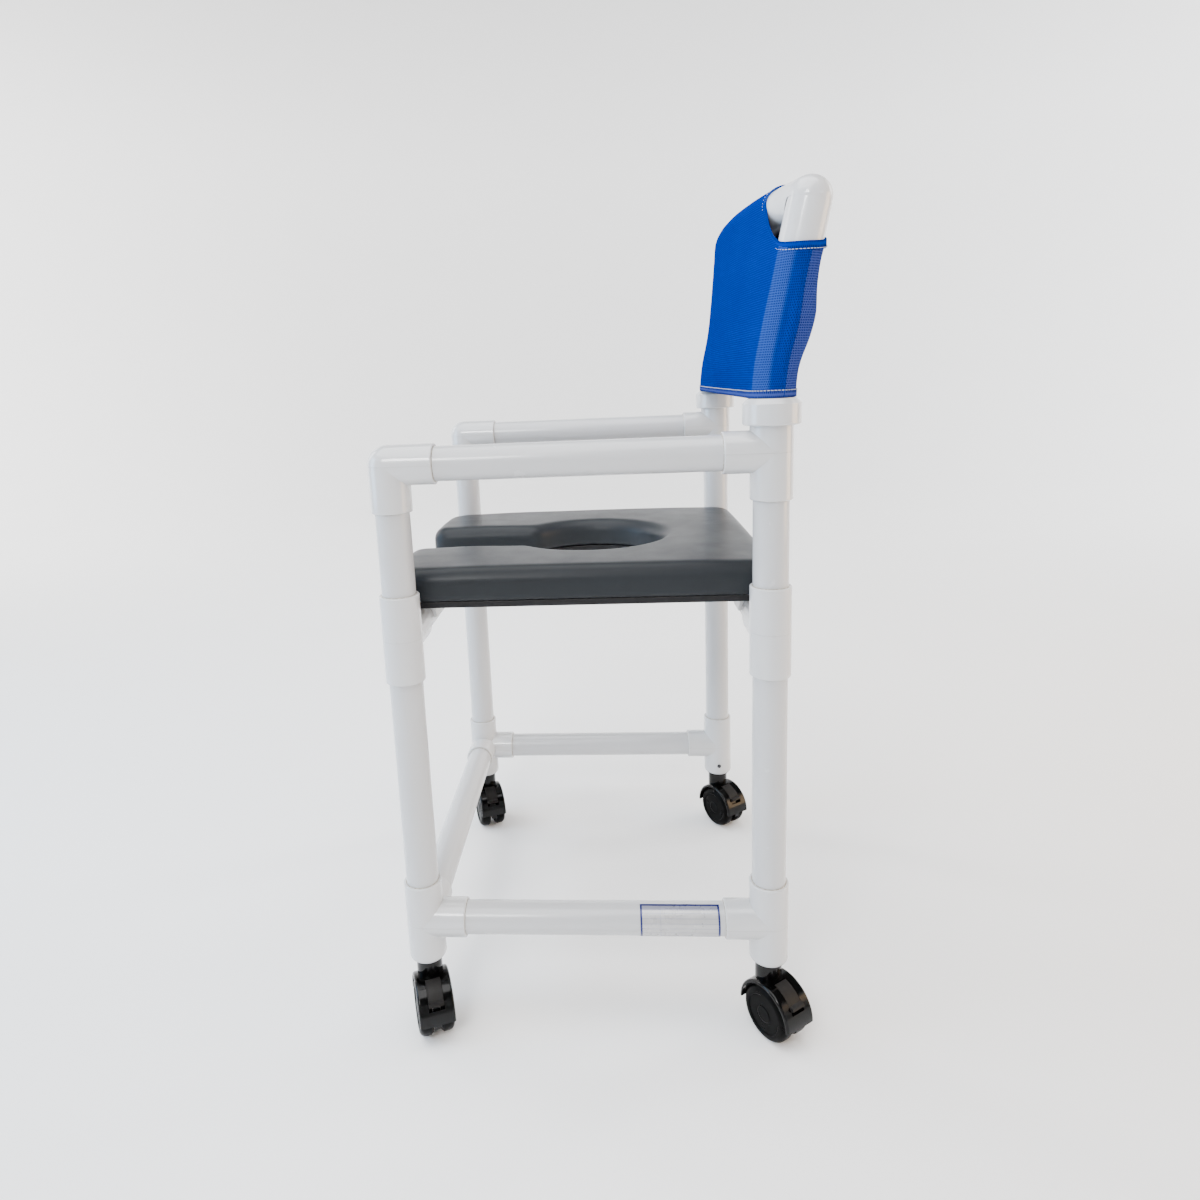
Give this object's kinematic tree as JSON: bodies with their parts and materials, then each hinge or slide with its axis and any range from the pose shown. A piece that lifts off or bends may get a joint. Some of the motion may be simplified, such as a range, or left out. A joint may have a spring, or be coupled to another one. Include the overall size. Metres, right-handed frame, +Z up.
{
  "type": "rolling commode chair",
  "caption": "Rolling commode and shower chair: glued plastic-pipe frame, open-front padded seat, blue mesh sling back, fixed armrests and braked twin-wheel casters.",
  "frame": {"origin": "on the floor, midway between the four caster swivel axes", "axes": "+Z up; the sitter faces -Y, so the sitter's left is +X"},
  "size_m": [0.6029, 0.5467, 1.065],
  "materials": {
    "pipe_pvc": "white glossy extruded pipe",
    "fitting_pvc": "white high-gloss moulding",
    "sling_mesh": "open plastic-coated mesh",
    "cushion_skin": "satin grained soft skin",
    "board": "matt black board",
    "clip_plastic": "satin white moulding",
    "screw_steel": "blackened",
    "socket_plastic": "satin black",
    "caster_hood": "gloss black",
    "pedal_plastic": "matt dark grey",
    "wheel_tread": "satin black",
    "pin_steel": "plated",
    "label_foil": "satin printed foil"
  },
  "bodies": {
    "frame": {"back_corner_elbows": "pipe_pvc", "back_post_collars": "fitting_pvc", "back_sling": "sling_mesh", "back_top_bar": "pipe_pvc", "caster_socket_screws": "screw_steel", "caster_stem_sockets": "socket_plastic", "front_left_arm_elbow": "fitting_pvc", "front_left_base_tee": "fitting_pvc", "front_left_lower_leg": "pipe_pvc", "front_left_seat_tee": "fitting_pvc", "front_left_upper_leg": "pipe_pvc", "front_lower_cross_rail": "pipe_pvc", "front_right_arm_elbow": "fitting_pvc", "front_right_base_tee": "fitting_pvc", "front_right_lower_leg": "pipe_pvc", "front_right_seat_tee": "fitting_pvc", "front_right_upper_leg": "pipe_pvc", "front_seat_rail": "pipe_pvc", "information_label": "label_foil", "left_armrest_tube": "pipe_pvc", "left_back_post": "pipe_pvc", "left_lower_side_rail": "pipe_pvc", "rear_left_arm_tee": "fitting_pvc", "rear_left_base_tee": "fitting_pvc", "rear_left_lower_leg": "pipe_pvc", "rear_left_seat_tee": "fitting_pvc", "rear_left_upper_leg": "pipe_pvc", "rear_right_arm_tee": "fitting_pvc", "rear_right_base_tee": "fitting_pvc", "rear_right_lower_leg": "pipe_pvc", "rear_right_seat_tee": "fitting_pvc", "rear_right_upper_leg": "pipe_pvc", "rear_seat_rail": "pipe_pvc", "right_armrest_tube": "pipe_pvc", "right_back_post": "pipe_pvc", "right_lower_side_rail": "pipe_pvc"},
    "seat": {"seat_cushion": "cushion_skin", "seat_base_board": "board", "seat_saddle_clips": "clip_plastic", "seat_clip_screws": "screw_steel"},
    "front_left_caster": {"front_left_caster_hood": "caster_hood", "front_left_caster_stem": "pin_steel", "front_left_caster_axle": "pin_steel"},
    "front_left_wheels": {"front_left_caster_wheels": "wheel_tread"},
    "front_left_pedal": {"front_left_brake_pedal": "pedal_plastic"},
    "front_right_caster": {"front_right_caster_hood": "caster_hood", "front_right_caster_stem": "pin_steel", "front_right_caster_axle": "pin_steel"},
    "front_right_wheels": {"front_right_caster_wheels": "wheel_tread"},
    "front_right_pedal": {"front_right_brake_pedal": "pedal_plastic"},
    "rear_left_caster": {"rear_left_caster_hood": "caster_hood", "rear_left_caster_stem": "pin_steel", "rear_left_caster_axle": "pin_steel"},
    "rear_left_wheels": {"rear_left_caster_wheels": "wheel_tread"},
    "rear_left_pedal": {"rear_left_brake_pedal": "pedal_plastic"},
    "rear_right_caster": {"rear_right_caster_hood": "caster_hood", "rear_right_caster_stem": "pin_steel", "rear_right_caster_axle": "pin_steel"},
    "rear_right_wheels": {"rear_right_caster_wheels": "wheel_tread"},
    "rear_right_pedal": {"rear_right_brake_pedal": "pedal_plastic"}
  },
  "joints": [
    {"name": "seat_lift", "type": "slide", "parent": "frame", "child": "seat", "axis": [0, 0, 1], "range_m": [0, 0.12]},
    {"name": "front_left_swivel", "type": "hinge", "parent": "frame", "child": "front_left_caster", "pos_m": [0.2535, -0.226, 0.1], "axis": [0, 0, 1], "continuous": true},
    {"name": "front_left_roll", "type": "hinge", "parent": "front_left_caster", "child": "front_left_wheels", "pos_m": [0.26657, -0.22098, 0.036], "axis": [-0.3584, 0.9336, 0], "continuous": true},
    {"name": "front_left_brake", "type": "hinge", "parent": "front_left_caster", "child": "front_left_pedal", "pos_m": [0.27581, -0.21744, 0.07569], "axis": [-0.3584, 0.9336, 0], "range_deg": [0, 4]},
    {"name": "front_right_swivel", "type": "hinge", "parent": "frame", "child": "front_right_caster", "pos_m": [-0.2535, -0.226, 0.1], "axis": [0, 0, 1], "continuous": true},
    {"name": "front_right_roll", "type": "hinge", "parent": "front_right_caster", "child": "front_right_wheels", "pos_m": [-0.24043, -0.22098, 0.036], "axis": [-0.3584, 0.9336, 0], "continuous": true},
    {"name": "front_right_brake", "type": "hinge", "parent": "front_right_caster", "child": "front_right_pedal", "pos_m": [-0.23119, -0.21744, 0.07569], "axis": [-0.3584, 0.9336, 0], "range_deg": [0, 4]},
    {"name": "rear_left_swivel", "type": "hinge", "parent": "frame", "child": "rear_left_caster", "pos_m": [0.2535, 0.226, 0.1], "axis": [0, 0, 1], "continuous": true},
    {"name": "rear_left_roll", "type": "hinge", "parent": "rear_left_caster", "child": "rear_left_wheels", "pos_m": [0.26497, 0.23403, 0.036], "axis": [-0.5736, 0.8192, 0], "continuous": true},
    {"name": "rear_left_brake", "type": "hinge", "parent": "rear_left_caster", "child": "rear_left_pedal", "pos_m": [0.27307, 0.23971, 0.07569], "axis": [-0.5736, 0.8192, 0], "range_deg": [0, 4]},
    {"name": "rear_right_swivel", "type": "hinge", "parent": "frame", "child": "rear_right_caster", "pos_m": [-0.2535, 0.226, 0.1], "axis": [0, 0, 1], "continuous": true},
    {"name": "rear_right_roll", "type": "hinge", "parent": "rear_right_caster", "child": "rear_right_wheels", "pos_m": [-0.24203, 0.23403, 0.036], "axis": [-0.5736, 0.8192, 0], "continuous": true},
    {"name": "rear_right_brake", "type": "hinge", "parent": "rear_right_caster", "child": "rear_right_pedal", "pos_m": [-0.23393, 0.23971, 0.07569], "axis": [-0.5736, 0.8192, 0], "range_deg": [0, 4]}
  ]
}
